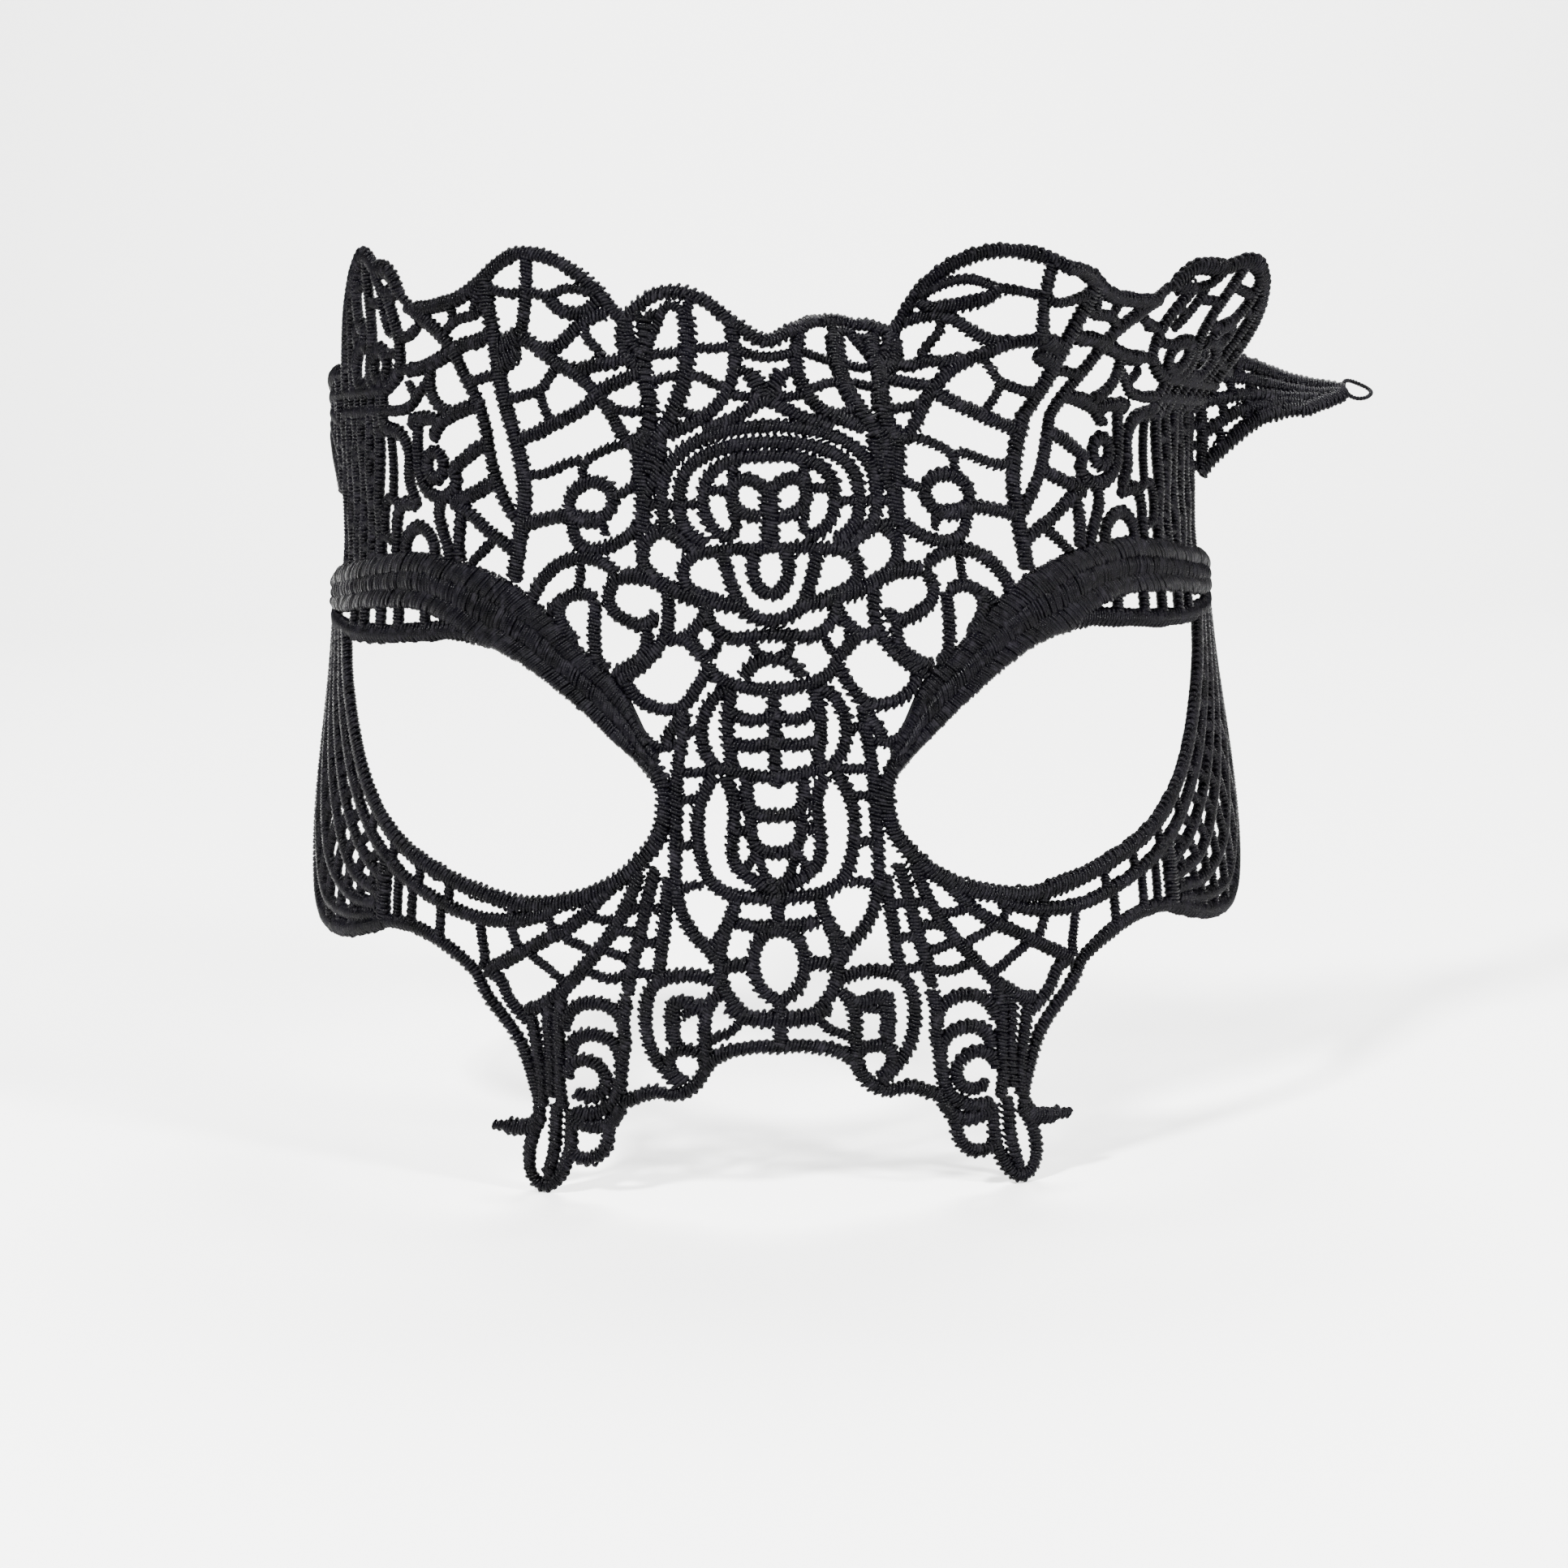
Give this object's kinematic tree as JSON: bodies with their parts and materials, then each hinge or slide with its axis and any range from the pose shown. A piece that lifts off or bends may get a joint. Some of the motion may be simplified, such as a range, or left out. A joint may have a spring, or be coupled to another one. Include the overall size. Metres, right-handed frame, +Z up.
{
  "type": "lace half mask",
  "caption": "Lace half mask with cat-ear scallops along its top, two eye openings, and folding wings with thread loops at the temples",
  "frame": {"origin": "the inner face of the lace at the bridge of the nose, where the mask seats on a face", "axes": "+Z up, -Y out of the front of the mask, +X to the wearer's left; the rest pose has the left wing flared and the right wing wrapped back"},
  "size_m": [0.1655, 0.0853, 0.1301],
  "materials": {
    "lace_thread": "satin-stitched black rayon thread with a soft gloss"
  },
  "bodies": {
    "face": {"crown_centre": "lace_thread", "forehead_medallion": "lace_thread", "forehead_fan": "lace_thread", "bridge_ovals": "lace_thread", "bridge_shield": "lace_thread", "nose_drop": "lace_thread", "nose_arch": "lace_thread", "crown_scallop_left": "lace_thread", "crown_scallop_right": "lace_thread", "crown_peak_left": "lace_thread", "crown_peak_right": "lace_thread", "temple_web_left": "lace_thread", "temple_web_right": "lace_thread", "temple_netting_left": "lace_thread", "temple_netting_right": "lace_thread", "forehead_knot_left": "lace_thread", "forehead_knot_right": "lace_thread", "forehead_swirl_left": "lace_thread", "forehead_swirl_right": "lace_thread", "brow_band_left": "lace_thread", "brow_band_right": "lace_thread", "brow_ladder_left": "lace_thread", "brow_ladder_right": "lace_thread", "eye_rim_inner_left": "lace_thread", "eye_rim_inner_right": "lace_thread", "eye_rim_lower_left": "lace_thread", "eye_rim_lower_right": "lace_thread", "eye_rim_outer_left": "lace_thread", "eye_rim_outer_right": "lace_thread", "under_eye_ladder_left": "lace_thread", "under_eye_ladder_right": "lace_thread", "side_panel_left": "lace_thread", "side_panel_right": "lace_thread", "nose_column_left": "lace_thread", "nose_column_right": "lace_thread", "cheek_web_left": "lace_thread", "cheek_web_right": "lace_thread", "nostril_scroll_left": "lace_thread", "nostril_scroll_right": "lace_thread", "cheek_rosette_left": "lace_thread", "cheek_rosette_right": "lace_thread", "cheek_point_left": "lace_thread", "cheek_point_right": "lace_thread", "whisker_spur_left": "lace_thread", "whisker_spur_right": "lace_thread"},
    "ear_left": {"ear_left": "lace_thread"},
    "wing_left": {"wing_left": "lace_thread", "tie_loop_left": "lace_thread"},
    "ear_right": {"ear_right": "lace_thread"},
    "wing_right": {"wing_right": "lace_thread", "tie_loop_right": "lace_thread"}
  },
  "joints": [
    {"name": "ear_fold_left", "type": "hinge", "parent": "face", "child": "ear_left", "pos_m": [0.0582, 0.03358, 0.05065], "axis": [0.5711, 0.82, -0.0375], "range_deg": [-30, 30], "stiffness_Nm_per_rad": 0.0008},
    {"name": "ear_fold_right", "type": "hinge", "parent": "face", "child": "ear_right", "pos_m": [-0.05623, 0.03478, 0.0511], "axis": [0.5222, -0.8528, 0], "range_deg": [-30, 30], "stiffness_Nm_per_rad": 0.0008},
    {"name": "wing_fold_left", "type": "hinge", "parent": "face", "child": "wing_left", "pos_m": [0.06226, 0.04622, 0.047], "axis": [0, 0, 1], "range_deg": [-5, 45], "stiffness_Nm_per_rad": 0.0008},
    {"name": "wing_fold_right", "type": "hinge", "parent": "face", "child": "wing_right", "pos_m": [-0.06226, 0.04622, 0.047], "axis": [0, 0, 1], "range_deg": [-5, 60], "stiffness_Nm_per_rad": 0.0008}
  ]
}
